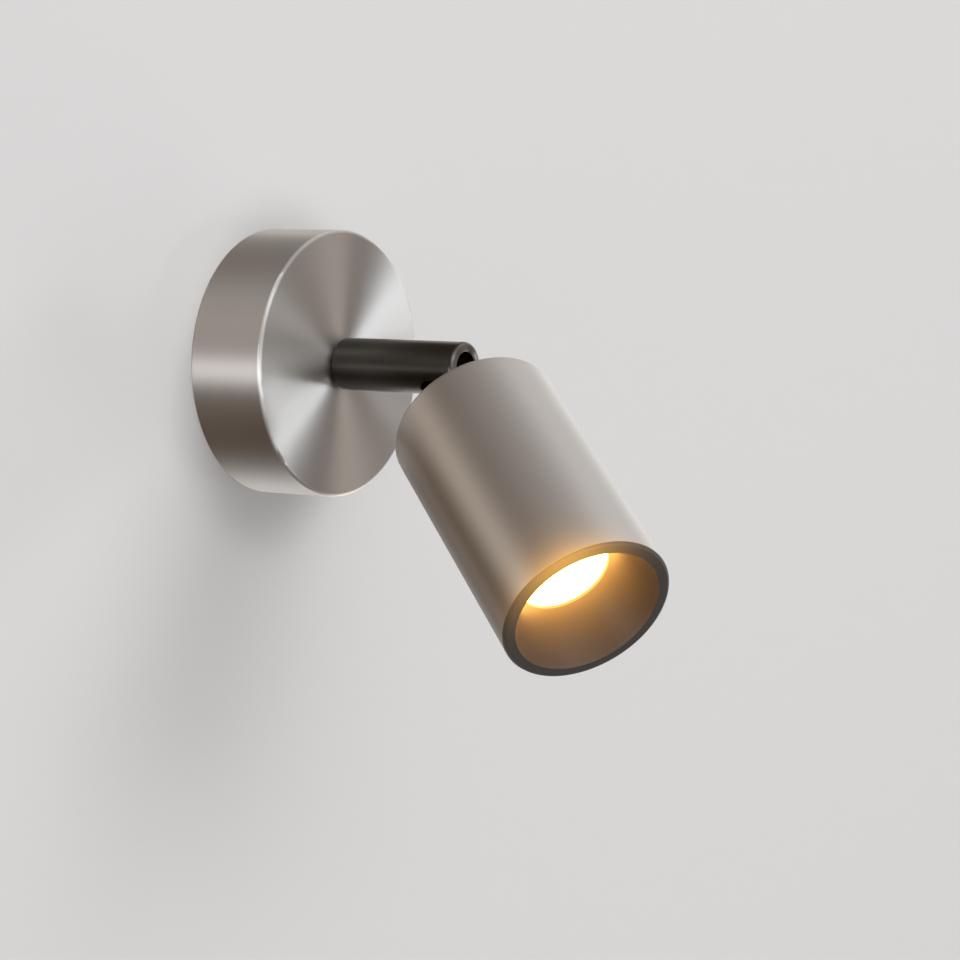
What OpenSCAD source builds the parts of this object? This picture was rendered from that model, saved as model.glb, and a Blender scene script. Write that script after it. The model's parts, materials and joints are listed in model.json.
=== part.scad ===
// Wall spotlight: round canopy, turned arm with a hollow knuckle, cylindrical head.
// Millimetres, +Z up. The wall is the plane y = 0 and the room is towards -Y.
// The origin is the centre of the canopy's wall face, on the arm's axis.

/* [Canopy] */
// Outer diameter of the canopy
canopy_d = 80; // [80:1:120]
// Depth of the canopy from the wall to its face
canopy_depth = 25; // [24.6:0.2:40]
// Wall thickness of the canopy
canopy_wall = 1.2; // [0.8:0.1:1.6]
// Rounding of the canopy's front edge
canopy_edge_r = 1; // [0.4:0.1:2.4]

/* [Wall plate] */
// Thickness of the pressed wall plate
plate_t = 1.5; // [1:0.1:2]
// Width of the two bent ears that carry the canopy
ear_w = 14; // [10:0.5:18]
// Height of the ears above the wall
ear_h = 16; // [14:0.5:20]
// Distance between the centres of the two fixing slots
slot_pitch = 52; // [48:1:54]
// Width of a fixing slot
slot_w = 4.5; // [4:0.1:5.5]
// Length of a fixing slot from end to end
slot_len = 12; // [8:0.5:12]
// Bore of the cable bush
bush_bore_d = 8; // [6:0.5:9]

/* [Arm] */
// Wall thickness of the arm tube
arm_wall = 2.8; // [2.6:0.1:4]
// Reach of the arm from the canopy's face to its end
arm_reach = 45; // [35:1:90]
// Rounding of the arm's outer end
arm_edge_r = 1.3; // [0.5:0.1:1.8]
// Length of the narrow step at the foot of the arm
step_len = 1.7; // [1:0.1:3]
// Distance of the tilt axis from the arm's end
pivot_setback = 9; // [8:0.5:14]
// Diameter of the pivot screw's shank
pivot_d = 2.5; // [2:0.1:2.6]
// Wall thickness of the hollow threaded nipple
nipple_wall = 1.5; // [1.3:0.1:1.8]

/* [Knuckle] */
// Wall thickness of the knuckle's hollow neck
neck_wall = 1.5; // [1.2:0.1:1.7]
// Clear gap between the knuckle's two cheeks
cheek_gap = 3.2; // [2.8:0.1:3.6]
// Distance from the tilt axis to the head's rear face
head_gap = 25.4; // [20:0.2:40]

/* [Head] */
// Outer diameter of the head
head_d = 49.2; // [48:0.2:60]
// Length of the head's metal sleeve
sleeve_len = 79; // [74:1:110]
// Wall thickness of the sleeve
sleeve_wall = 1.5; // [1:0.1:2]
// Thickness of the head's rear wall
rear_wall = 3; // [2:0.1:4]
// Rounding of the head's rear edge
rear_edge_r = 1; // [0.4:0.1:2]
// Distance that the dark front ring stands proud of the sleeve
ring_proud = 1; // [0.8:0.1:2]
// Width of the front ring's face
ring_w = 3.4; // [3.2:0.1:5]
// Diameter of the lit opening at the bottom of the cone
light_d = 27; // [24:0.2:28]
// Depth of the lit opening behind the sleeve's front edge
light_depth = 15; // [12:0.5:20]

/* [Light engine] */
// Thickness of the heat sink's base
sink_base_t = 6; // [4:0.5:8]
// Number of radial cooling fins
fin_count = 12; // [8:4:20]
// Thickness of a cooling fin
fin_t = 1.6; // [1:0.1:2]
// Distance of the round circuit board from the sleeve
board_gap = 4; // [3:0.5:6]
// Thickness of the circuit board
board_t = 1.6; // [1:0.1:2]
// Diameter of the light-emitting surface
emitter_d = 9; // [6:0.5:9]

/* [Driver and terminals] */
// Width of the driver case
driver_w = 40; // [34:0.5:42]
// Length of the driver case
driver_l = 20; // [16:0.5:20]
// Height of the driver case
driver_h = 16; // [13:0.5:17]
// Width of the terminal block
block_w = 27; // [26:0.5:28]
// Length of the terminal block
block_l = 16; // [14:0.5:17]
// Height of the terminal block
block_h = 15; // [13:0.5:16]
// Diameter of a supply lead
supply_d = 1.9; // [1.5:0.1:2]
// Diameter of the two-core lead to the head
lead_d = 2; // [1.6:0.1:2]

/* [Pose] */
// Turn of the arm about its own axis, from straight down towards -X
turn_rest = 33.8; // [-165:0.1:165]
// Tilt of the head away from the arm's line
tilt_rest = 44.3; // [0:0.1:90]

/* [Hidden] */
$fn = 96;

// Clearances and cuts
fit = 0.05;
slip = 0.3;
over = 1;

// Colours
nickel = [0.70, 0.69, 0.67];
satin = [0.56, 0.53, 0.50];
black_nickel = [0.16, 0.15, 0.14];
zinc = [0.74, 0.75, 0.76];
raw_steel = [0.62, 0.62, 0.62];
dark_matte = [0.10, 0.10, 0.10];
white_plastic = [0.90, 0.90, 0.88];
brass_yellow = [0.80, 0.65, 0.33];
raw_alu = [0.80, 0.80, 0.82];
rubber_black = [0.06, 0.06, 0.06];

// Canopy
canopy_r = canopy_d / 2;
canopy_r_in = canopy_r - canopy_wall;
canopy_face_in = canopy_depth - canopy_wall;

// Tongue inside the canopy that hangs on the upper ear
tongue_w = 8;
tongue_t = 1.5;
tongue_reach = 3.4;
tongue_z = 8;

// Wall plate, centred on the arm's axis
plate_r = canopy_r_in - slip;
ear_out = sqrt(pow(plate_r, 2) - pow(ear_w / 2, 2));
ear_in = ear_out - plate_t;

// Cable bush, with a collar that rests on the plate
bush_wall = 2;
bush_brim = 2;
bush_collar_t = 1.5;
bush_barrel_r = bush_bore_d / 2 + bush_wall;
bush_collar_r = bush_barrel_r + bush_brim;

// Grub screw through the canopy's rim into the lower ear
grub_d = 3;
grub_len = 5;
grub_z = 11;
grub_sink = 0.4;
socket_r = 0.85;
socket_depth = 1.5;

// Leads inside the arm: each runs beside the pivot screw
supply_r = supply_d / 2;
lead_r = lead_d / 2;
lead_up = pivot_d / 2 + lead_r + slip / 2;

// Nipple and arm, one round the other
nipple_bore_d = 2 * (lead_up + lead_r + 2 * fit);
nipple_d = nipple_bore_d + 2 * nipple_wall;
arm_bore_d = nipple_d + 2 * fit;
arm_d = arm_bore_d + 2 * arm_wall;

// Turning joint inside the canopy, from the canopy's face inwards
friction_t = 0.8;
friction_rim = 5;
friction_r = nipple_d / 2 + friction_rim;
stop_t = 1;
stop_rim = 4;
stop_r = nipple_d / 2 + stop_rim;
stop_pin_d = 2.5;
stop_pin_gap = 1.75;
stop_pin_orbit = stop_r + stop_pin_gap + stop_pin_d / 2;
stop_tab_r = stop_pin_orbit + stop_pin_d / 2 + slip / 2;
stop_tab_w = 3;
spring_t = 1.6;
spring_rim = 3.6;
spring_r = nipple_d / 2 + spring_rim;
spring_slit = 1.2;
nut_wall = 2;
nut_af = nipple_d + 2 * nut_wall;
nut_t = 4;
nut_chamfer = 0.6;
nipple_tail = 1.6;
nipple_flat = 0.8;
friction_z = canopy_face_in - friction_t;
stop_z = friction_z - stop_t;
spring_z = stop_z - spring_t;
nut_z = spring_z - nut_t;
nipple_z = nut_z - nipple_tail;

// Arm
arm_r = arm_d / 2;
arm_bore_r = arm_bore_d / 2;
step_wall = 0.8;
step_r = arm_bore_r + step_wall;
arm_washer_t = 0.5;
arm_washer_inset = 0.2;
arm_start_z = canopy_depth + arm_washer_t;
arm_end_z = canopy_depth + arm_reach;
arm_len = arm_end_z - arm_start_z;
pivot_z = arm_end_z - pivot_setback;
nipple_grip = 14;
mouth_chamfer = 0.3;

// Pivot screw, put in from the side of +X
pivot_head_r = 2.2;
pivot_head_t = 1.1;
pivot_head_x = sqrt(pow(arm_r, 2) - pow(pivot_head_r + fit, 2)) - pivot_head_t - fit;
pivot_blind = 0.9;
pivot_tip_x = arm_r - pivot_blind - fit;
pivot_washer_r = 2.4;
pivot_washer_x = sqrt(pow(arm_bore_r, 2) - pow(pivot_washer_r, 2)) - fit;
slot_side = 0.3;

// Knuckle, with an eye that just clears the arm's bore
neck_play = 1;
neck_bore_r = lead_r + neck_play;
neck_r = neck_bore_r + neck_wall;
neck_d = 2 * neck_r;
eye_r = sqrt(pow(arm_bore_r, 2) - pow(neck_r, 2)) - slip;
shank_wall = 2;
shank_r = neck_bore_r + shank_wall;
shank_tail = 1;
flange_rim = 3;
flange_r = shank_r + flange_rim;
flange_t = 2;
cheek_len = 8;
neck_washer_rim = 4;
neck_washer_r = shank_r + neck_washer_rim;
neck_washer_t = 0.8;
neck_nut_wall = 2.5;
neck_nut_af = 2 * (shank_r + neck_nut_wall);
neck_nut_t = 4;

// Head, measured from the tilt axis along the head's own axis
head_r = head_d / 2;
head_r_in = head_r - sleeve_wall;
rear_s = head_gap;
floor_s = rear_s + rear_wall;
shank_end_s = floor_s + neck_washer_t + neck_nut_t + shank_tail;
front_s = rear_s + sleeve_len;
light_s = front_s - light_depth;
sink_r = head_r_in - fit;
fin_bore_r = 10;

// Front baffle: ring, threaded plug, cone and collar round the lens
mouth_r = head_r - ring_w;
light_r = light_d / 2;
ring_step = 0.2;
ring_r = head_r - ring_step;
ring_edge_r = 0.8;
plug_r = head_r_in - fit;
plug_len = 11;
plug_wall = 2.6;
cone_wall = 1.3;
lip_t = 1;
collar_len = 5;
collar_wall = 1.5;
seal_d = 1.6;
seal_back = 5;

// Lens and its cup
lens_rim = 1.5;
lens_flange_r = light_r + lens_rim;
lens_flange_t = 1.6;
lens_rear_r = 6;
lens_len = 13;
lens_curve_share = 0.62;
lens_steps = 10;
lens_well_r = emitter_d / 2 + slip;
lens_well_depth = 5;
cup_wall = 1.2;
lens_front_s = light_s - lip_t;
lens_seat_s = lens_front_s - lens_flange_t;
lens_rear_s = lens_front_s - lens_len;

// Light engine behind the lens
package_w = 13.5;
package_t = 0.8;
emitter_t = 0.5;
pad_t = 0.3;
cup_foot = 0.4;
board_s = lens_rear_s - package_t - cup_foot - board_t;
pad_s = board_s - pad_t;
sink_s = pad_s - sink_base_t;
board_d = 2 * (head_r_in - board_gap);
board_screw_d = 2.5;
board_screw_inset = 4;
board_screw_x = board_d / 2 - board_screw_inset;
board_screw_head_r = 2.2;
board_screw_head_t = 1.4;
board_screw_grip = 4;

// Sides of a lead and the most degrees that one piece of a bend turns
lead_sides = 8;
lead_arc_step = 18;

// Two-core lead from the driver to the board
lead_slack = 3.4;
lead_low = neck_bore_r - lead_r - 2 * fit;
lead_dip_a = 30;
lead_dip_r = 3;
lead_lift_a = 45;
lead_lift_r = 4;
lead_out = 13;
lead_out_s = board_s + board_t + lead_r;
lead_bend_r = 4;
lead_hole_play = 0.4;
lead_hole_r = lead_r + lead_hole_play;

// Driver
driver_gap = 1;
driver_top = sqrt(pow(canopy_r_in, 2) - pow(driver_w / 2, 2)) - driver_gap;
driver_y = driver_top - driver_l;
driver_wall = 1.4;
driver_corner = 2;
driver_lid_t = 1.6;
driver_lip = 1;
driver_tab = 7;
driver_tab_w = 8;
driver_tab_t = 2;
driver_tab_y = driver_y + driver_tab_w / 2 + 1.5 * driver_wall;
driver_screw_x = driver_w / 2 + driver_tab / 2;
driver_rib_h = 2.2;
driver_rib_inset = 7;
driver_rib_x = driver_w / 2 - driver_rib_inset;
driver_board_t = 1.2;
tap_d = 2.9;
pan_r = 2.7;
pan_t = 1.6;

// Supply leads, which pass the block's end as near the canopy's side as their bends allow
supply_bend = 2.5;
supply_into = 5;
supply_step = 2.5;
supply_gap = 1.5;
supply_x = block_w / 2 + supply_gap;
supply_orbit = canopy_r_in - supply_bend - supply_r - slip;
supply_far_y = -sqrt(pow(supply_orbit, 2) - pow(supply_x + supply_step - supply_bend, 2)) - supply_bend;
supply_run_y = supply_far_y + supply_step;
output_rise = 5;
output_z = plate_t + output_rise;

// Terminal block, with its supply side towards the cable bush
block_end_y = supply_run_y + supply_bend + slip;
block_y = block_end_y + block_l;
poles = 3;
pole_pitch = block_w / poles;
pole_gap = 1.6;
pole_base = 4.5;
clamp_bore_r = 1.7;
clamp_wall = 1.1;
clamp_r = clamp_bore_r + clamp_wall;
clamp_clear = 0.6;
pole_z = plate_t + pole_base + clamp_clear + clamp_r;
clamp_inset = 1;
well_r = 2.1;
well_inset = 4.2;
clamp_screw_d = 2.8;
clamp_screw_len = 4.2;
block_screw_len = plate_t + pole_base;

// Earth screw on the plate, and its lead
earth_gap = 2.5;
earth_x = block_w / 2 + earth_gap;
earth_y = -2;
earth_d = 4;
earth_head_r = 3.5;
earth_head_t = 2.2;
tag_r = 3.8;
tag_t = 0.8;
barrel_r = 1.5;
barrel_len = 5;
barrel_z = plate_t + barrel_r;
earth_drop_a = 60;

// The canopy's frame: z leaves the wall, y is up, x stays
module place_wall() {
  rotate([90, 0, 0]) children();
}

// The arm's frame: as the canopy's, turned about the arm's axis
module place_arm() {
  place_wall() rotate([0, 0, -turn_rest]) children();
}

// The head's frame: z runs along the head from the tilt axis
module place_head() {
  place_arm() translate([0, 0, pivot_z]) rotate([tilt_rest, 0, 0]) children();
}

// Half section of a disc whose top outer edge is rounded
module disc_profile(r, h, edge) {
  square([r - edge, h]);
  square([r, h - edge]);
  intersection() {
    translate([r - edge, h - edge]) circle(edge);
    square([r, h]);
  }
}

// Straight tube with a through bore
module tube(r_out, r_in, h) {
  difference() {
    cylinder(h = h, r = r_out);
    translate([0, 0, -over]) cylinder(h = h + 2 * over, r = r_in);
  }
}

// Rectangle with rounded corners, centred
module soft_rectangle(w, l, r) {
  square([w - 2 * r, l], center = true);
  square([w, l - 2 * r], center = true);
  for (sx = [-1, 1], sy = [-1, 1])
    translate([sx * (w / 2 - r), sy * (l / 2 - r)]) circle(r);
}

// Slot along x, centred, from z = 0 upwards
module slot_hole(w, l, h) {
  linear_extrude(h) {
    square([l - w, w], center = true);
    for (s = [-1, 1]) translate([s * (l - w) / 2, 0]) circle(w / 2);
  }
}

// Hexagon nut with chamfered corners
module hex_nut(af, t, bore_r) {
  corner_r = af / 2 / cos(30);
  difference() {
    intersection() {
      cylinder(h = t, r = corner_r, $fn = 6);
      rotate_extrude() polygon([
        [0, 0], [af / 2, 0], [corner_r, nut_chamfer],
        [corner_r, t - nut_chamfer], [af / 2, t], [0, t]
      ]);
    }
    translate([0, 0, -over]) cylinder(h = t + 2 * over, r = bore_r);
  }
}

// Screw along z: shank below z = 0, slotted pan head above it
module pan_screw(shank_d, len, head_r, head_t) {
  edge = head_t / 3;
  slit = head_r / 3;
  translate([0, 0, -len]) cylinder(h = len, d = shank_d);
  difference() {
    rotate_extrude() disc_profile(head_r, head_t, edge);
    translate([-head_r - over, -slit / 2, head_t / 2])
      cube([2 * (head_r + over), slit, head_t]);
  }
}

// Vector v turned by a degrees about the unit vector k
function turned(v, k, a) = v * cos(a) + cross(k, v) * sin(a) + k * (k * v) * (1 - cos(a));

// Rings of a lead that starts along z: each is [centre, radial direction, radial direction].
// A step is [straight length, angle of the bend, roll before the bend, radius of the bend].
// p is the place reached, (x, y, z) the frame that bends and rolls, (u, v) the frame of a ring.
function lead_rings(steps, i = 0, p = [0, 0, 0], x = [1, 0, 0], y = [0, 1, 0], z = [0, 0, 1],
    u = [1, 0, 0], v = [0, 1, 0]) =
  i == len(steps) ? [] :
  let (
    a = steps[i][1],
    roll = steps[i][2],
    r = steps[i][3],
    corner = p + steps[i][0] * z,
    side = x * cos(roll) + y * sin(roll),
    hinge = y * cos(roll) - x * sin(roll),
    n = ceil(a / lead_arc_step)
  )
  concat(
    i == 0 || steps[i][0] > 0 ? [[corner, u, v]] : [],
    [for (j = [1 : 1 : n]) let (b = a * j / n)
      [corner + r * ((1 - cos(b)) * side + sin(b) * z), turned(u, hinge, b), turned(v, hinge, b)]],
    lead_rings(steps, i + 1, corner + r * ((1 - cos(a)) * side + sin(a) * z),
      side * cos(a) - z * sin(a), hinge, z * cos(a) + side * sin(a),
      turned(u, hinge, a), turned(v, hinge, a))
  );

// Lead of round section from z = 0 along its steps
module lead_run(steps, d) {
  body = lead_rings(steps);
  rings = steps[0][0] > 0 ? concat([[[0, 0, 0], [1, 0, 0], [0, 1, 0]]], body) : body;
  k = lead_sides;
  last = (len(rings) - 1) * k;
  polyhedron(
    points = [for (ring = rings, j = [0 : k - 1])
      ring[0] + d / 2 * (cos(360 * j / k) * ring[1] + sin(360 * j / k) * ring[2])],
    faces = concat(
      [[for (j = [0 : k - 1]) j]],
      [for (i = [0 : len(rings) - 2], j = [0 : k - 1], half = [0, 1])
        let (a = i * k + j, b = i * k + (j + 1) % k)
        half == 0 ? [a, a + k, b] : [b, a + k, b + k]],
      [[for (j = [k - 1 : -1 : 0]) last + j]]
    ),
    convexity = 10
  );
}

// Straight stretch between two equal bends that shifts a lead sideways by rise
function shift_run(rise, a, r) = (rise - 2 * r * (1 - cos(a))) / sin(a);
// Distance that such a shift covers along the lead
function shift_len(rise, a, r) = 2 * r * sin(a) + shift_run(rise, a, r) * cos(a);

module ear(up) {
  difference() {
    translate([-ear_w / 2, up > 0 ? ear_in : -ear_out, 0]) cube([ear_w, plate_t, ear_h]);
    if (up > 0)
      translate([-tongue_w / 2 - slip, ear_in - over, tongue_z - slip])
        cube([tongue_w + 2 * slip, plate_t + 2 * over, tongue_t + 2 * slip]);
    else
      translate([0, -ear_in + over, grub_z]) rotate([90, 0, 0])
        cylinder(h = plate_t + 2 * over, r = grub_d / 2 + fit);
  }
}

module wall_plate() {
  color(zinc) place_wall() difference() {
    union() {
      cylinder(h = plate_t, r = plate_r);
      ear(1);
      ear(-1);
    }
    translate([0, 0, -over]) {
      cylinder(h = plate_t + 2 * over, r = bush_barrel_r + fit);
      for (s = [-1, 1]) {
        translate([s * slot_pitch / 2, 0, 0]) slot_hole(slot_w, slot_len, plate_t + 2 * over);
        translate([s * driver_screw_x, driver_tab_y, 0])
          cylinder(h = plate_t + 2 * over, r = tap_d / 2 + fit);
        translate([s * pole_pitch / 2, block_y - block_l / 2, 0])
          cylinder(h = plate_t + 2 * over, r = tap_d / 2 + fit);
      }
      translate([earth_x, earth_y, 0]) cylinder(h = plate_t + 2 * over, r = earth_d / 2 + fit);
    }
  }
}

module cable_bush() {
  color(rubber_black) place_wall() difference() {
    union() {
      cylinder(h = plate_t + bush_collar_t, r = bush_barrel_r);
      translate([0, 0, plate_t]) rotate_extrude()
        disc_profile(bush_collar_r, bush_collar_t, bush_collar_t / 3);
    }
    translate([0, 0, -over])
      cylinder(h = plate_t + bush_collar_t + 2 * over, r = bush_bore_d / 2);
  }
}

module canopy() {
  color(nickel) place_wall() {
    difference() {
      rotate_extrude() difference() {
        disc_profile(canopy_r, canopy_depth, canopy_edge_r);
        translate([0, -over]) square([canopy_r_in, canopy_face_in + over]);
      }
      translate([0, 0, canopy_face_in - over])
        cylinder(h = canopy_wall + 2 * over, r = nipple_d / 2 + fit);
      translate([0, -canopy_r_in + over, grub_z]) rotate([90, 0, 0])
        cylinder(h = canopy_wall + 2 * over, r = grub_d / 2 + fit);
    }
    translate([-tongue_w / 2, canopy_r_in - tongue_reach, tongue_z])
      cube([tongue_w, tongue_reach + canopy_wall / 2, tongue_t]);
  }
}

module canopy_screw() {
  color(raw_steel) place_wall() translate([0, grub_sink - canopy_r, grub_z]) rotate([-90, 0, 0])
    difference() {
      cylinder(h = grub_len, d = grub_d);
      translate([0, 0, -over]) cylinder(h = socket_depth + over, r = socket_r, $fn = 6);
    }
}

module stop_pin() {
  color(raw_steel) place_wall() translate([0, -stop_pin_orbit, stop_z])
    cylinder(h = canopy_face_in - stop_z, d = stop_pin_d);
}

module friction_washer() {
  color(dark_matte) place_wall() translate([0, 0, friction_z])
    tube(friction_r, nipple_d / 2 + fit, friction_t);
}

module driver_case() {
  color(white_plastic) place_wall() {
    translate([0, driver_y + driver_l / 2, plate_t]) {
      difference() {
        linear_extrude(driver_h - driver_lid_t) soft_rectangle(driver_w, driver_l, driver_corner);
        translate([0, 0, driver_wall]) linear_extrude(driver_h)
          soft_rectangle(driver_w - 2 * driver_wall, driver_l - 2 * driver_wall,
            driver_corner - driver_wall);
      }
      for (s = [-1, 1])
        translate([s * driver_rib_x - driver_wall / 2, driver_wall - driver_l / 2, driver_wall / 2])
          cube([driver_wall, driver_l - 2 * driver_wall, driver_wall / 2 + driver_rib_h]);
    }
    for (s = [-1, 1])
      difference() {
        translate([s * driver_screw_x, driver_tab_y, plate_t]) linear_extrude(driver_tab_t)
          soft_rectangle(driver_tab + driver_wall, driver_tab_w, driver_corner / 2);
        translate([s * driver_screw_x, driver_tab_y, 0])
          cylinder(h = plate_t + driver_tab_t + over, r = tap_d / 2 + 2 * fit);
      }
  }
}

module driver_cover() {
  color(white_plastic) place_wall()
    translate([0, driver_y + driver_l / 2, plate_t + driver_h - driver_lid_t]) {
      linear_extrude(driver_lid_t) soft_rectangle(driver_w, driver_l, driver_corner);
      translate([0, 0, -driver_lip]) linear_extrude(driver_lip) difference() {
        square([driver_w - 2 * driver_wall - 2 * slip, driver_l - 2 * driver_wall - 2 * slip],
          center = true);
        square([driver_w - 4 * driver_wall - 2 * slip, driver_l - 4 * driver_wall - 2 * slip],
          center = true);
      }
    }
}

module driver_board() {
  inner_w = driver_w - 2 * driver_wall - 2 * slip;
  inner_l = driver_l - 2 * driver_wall - 2 * slip;
  part_z = driver_board_t;
  free_h = driver_h - driver_lid_t - driver_wall - driver_rib_h - driver_board_t - driver_lip - slip;
  color([0.10, 0.35, 0.20]) place_wall()
    translate([0, driver_y + driver_l / 2, plate_t + driver_wall + driver_rib_h]) {
      translate([-inner_w / 2, -inner_l / 2, 0]) cube([inner_w, inner_l, driver_board_t]);
      translate([-inner_w / 8, -inner_l / 3, part_z])
        cube([inner_w / 4, inner_l * 2 / 3, free_h]);
      translate([-inner_w / 3, 0, part_z]) cylinder(h = free_h, r = inner_l / 5);
      translate([inner_w / 4, inner_l / 5, part_z]) cylinder(h = free_h * 3 / 4, r = inner_l / 7);
      translate([inner_w / 4, -inner_l / 3, part_z])
        cube([inner_w / 8, inner_l / 4, free_h / 3]);
    }
}

module driver_screws() {
  color(raw_steel) place_wall() for (s = [-1, 1])
    translate([s * driver_screw_x, driver_tab_y, plate_t + driver_tab_t])
      pan_screw(tap_d, plate_t + driver_tab_t - fit, pan_r, pan_t);
}

// Places one copy at each of the three poles, at the height of the wire holes
module at_poles() {
  for (i = [-1:1]) translate([i * pole_pitch, block_y, pole_z]) children();
}

module terminal_block() {
  color(white_plastic) place_wall() difference() {
    translate([-block_w / 2, block_end_y, plate_t]) cube([block_w, block_l, block_h]);
    for (s = [-1, 1]) translate([s * pole_pitch / 2, 0, 0]) {
      translate([-pole_gap / 2, block_end_y - over, plate_t + pole_base])
        cube([pole_gap, block_l + 2 * over, block_h]);
      translate([0, block_y - block_l / 2, 0])
        cylinder(h = block_h, r = tap_d / 2 + 2 * fit);
      translate([0, block_y - block_l / 2, plate_t + pole_base])
        cylinder(h = block_h, r = pan_r + fit);
    }
    at_poles() {
      translate([0, over, 0]) rotate([90, 0, 0])
        cylinder(h = block_l + 2 * over, r = clamp_bore_r);
      translate([0, -clamp_inset, 0]) rotate([90, 0, 0])
        cylinder(h = block_l - 2 * clamp_inset, r = clamp_r + fit);
      for (y = [well_inset, block_l - well_inset])
        translate([0, -y, 0]) cylinder(h = block_h, r = well_r);
    }
  }
}

module terminal_clamps() {
  color(brass_yellow) place_wall() at_poles() difference() {
    translate([0, -clamp_inset - fit, 0]) rotate([90, 0, 0])
      tube(clamp_r, clamp_bore_r, block_l - 2 * clamp_inset - 2 * fit);
    for (y = [well_inset, block_l - well_inset])
      translate([0, -y, 0]) cylinder(h = 2 * clamp_r, r = clamp_screw_d / 2 + fit);
  }
}

module terminal_screws() {
  color(raw_steel) place_wall() at_poles()
    for (y = [well_inset, block_l - well_inset])
      translate([0, -y, supply_r + fit + clamp_screw_len])
        pan_screw(clamp_screw_d, clamp_screw_len, well_r - 2 * fit, pan_t);
}

module block_screws() {
  color(raw_steel) place_wall() for (s = [-1, 1])
    translate([s * pole_pitch / 2, block_y - block_l / 2, plate_t + pole_base])
      pan_screw(tap_d, block_screw_len - fit, pan_r, pan_t);
}

// Two leads from the inner side of the block round its end and up to the driver
module supply_leads() {
  color([0.45, 0.25, 0.15]) place_wall() for (i = [0, 1]) {
    start_x = (i - 1) * pole_pitch;
    run_y = supply_run_y - i * supply_step;
    end_x = -supply_x - i * supply_step;
    start_y = block_end_y + supply_into;
    translate([start_x, start_y, pole_z]) rotate([90, 0, 0]) lead_run([
      [start_y - run_y - supply_bend, 90, 180, supply_bend],
      [start_x - end_x - 2 * supply_bend, 90, 0, supply_bend],
      [driver_y - run_y - supply_bend, 0, 0, 0]
    ], supply_d);
  }
}

module earth_screw() {
  color(brass_yellow) place_wall() translate([earth_x, earth_y, plate_t + tag_t])
    pan_screw(earth_d, plate_t + tag_t - fit, earth_head_r, earth_head_t);
}

module earth_tag() {
  color(zinc) place_wall() translate([earth_x, earth_y, plate_t]) {
    difference() {
      union() {
        cylinder(h = tag_t, r = tag_r);
        translate([-barrel_r, -tag_r - barrel_len / 2, 0])
          cube([2 * barrel_r, (tag_r + barrel_len) / 2, tag_t]);
        translate([0, -tag_r - fit, barrel_r]) rotate([90, 0, 0])
          cylinder(h = barrel_len, r = barrel_r);
      }
      translate([0, 0, -over]) cylinder(h = tag_t + 2 * over, r = earth_d / 2 + fit);
    }
  }
}

module earth_lead() {
  start_y = block_end_y + supply_into;
  end_y = earth_y - tag_r - fit - barrel_len;
  drop = pole_z - barrel_z;
  rise = shift_len(drop, earth_drop_a, supply_bend);
  color([0.30, 0.62, 0.20]) place_wall() translate([pole_pitch, start_y, pole_z])
    rotate([90, 0, 0]) lead_run([
      [start_y - supply_run_y - supply_bend, 90, 0, supply_bend],
      [earth_x - pole_pitch - 2 * supply_bend, 90, 0, supply_bend],
      [end_y - supply_run_y - supply_bend - rise - supply_bend, earth_drop_a, -90, supply_bend],
      [shift_run(drop, earth_drop_a, supply_bend), earth_drop_a, 180, supply_bend],
      [supply_bend, 0, 0, 0]
    ], supply_d);
}

// Lead from the driver to the nipple's inner end, where the arm's lead goes on
module output_lead() {
  end_x = lead_up * sin(turn_rest);
  end_y = lead_up * cos(turn_rest);
  color(dark_matte) place_wall() translate([end_x, driver_y, output_z]) rotate([90, 0, 0])
    lead_run([
      [driver_y - end_y - lead_bend_r, 90, 90, lead_bend_r],
      [nipple_z - output_z - lead_bend_r, 0, 0, 0]
    ], lead_d);
}

module arm_tube() {
  color(black_nickel) place_arm() difference() {
    translate([0, 0, arm_start_z]) rotate_extrude() difference() {
      union() {
        square([step_r, arm_len / 2]);
        translate([0, step_len]) disc_profile(arm_r, arm_len - step_len, arm_edge_r);
      }
      translate([0, -over]) square([arm_bore_r, arm_len + 2 * over]);
      translate([0, arm_len]) polygon([
        [0, over], [arm_bore_r + mouth_chamfer, over], [arm_bore_r + mouth_chamfer, 0],
        [arm_bore_r, -mouth_chamfer], [0, -mouth_chamfer]
      ]);
    }
    translate([0, 0, pivot_z]) {
      rotate([90, 0, 0]) cylinder(h = arm_d, r = neck_r + slot_side);
      translate([-neck_r - slot_side, -arm_d, 0])
        cube([neck_d + 2 * slot_side, arm_d, pivot_setback + over]);
      rotate([0, 90, 0]) {
        translate([0, 0, -pivot_tip_x - fit]) cylinder(h = pivot_tip_x + arm_d, r = pivot_d / 2 + fit);
        translate([0, 0, pivot_head_x]) cylinder(h = arm_d, r = pivot_head_r + fit);
      }
    }
  }
}

module arm_washer() {
  color(rubber_black) place_arm() translate([0, 0, canopy_depth])
    tube(step_r - arm_washer_inset, nipple_d / 2 + fit, arm_washer_t);
}

module arm_nipple() {
  color(brass_yellow) place_arm() difference() {
    translate([0, 0, nipple_z])
      tube(nipple_d / 2, nipple_bore_d / 2, arm_start_z + nipple_grip - nipple_z);
    translate([-nipple_d / 2, nipple_d / 2 - nipple_flat, nipple_z - over])
      cube([nipple_d, nipple_d, friction_z - nipple_z + over]);
  }
}

module stop_washer() {
  color(zinc) place_arm() translate([0, 0, stop_z]) difference() {
    union() {
      cylinder(h = stop_t, r = stop_r);
      translate([-stop_tab_w / 2, 0, 0]) cube([stop_tab_w, stop_tab_r, stop_t]);
    }
    intersection() {
      translate([0, 0, -over]) cylinder(h = stop_t + 2 * over, r = nipple_d / 2 + fit);
      translate([-nipple_d, -nipple_d, -over])
        cube([2 * nipple_d, nipple_d * 3 / 2 - nipple_flat + fit, stop_t + 2 * over]);
    }
  }
}

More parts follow.
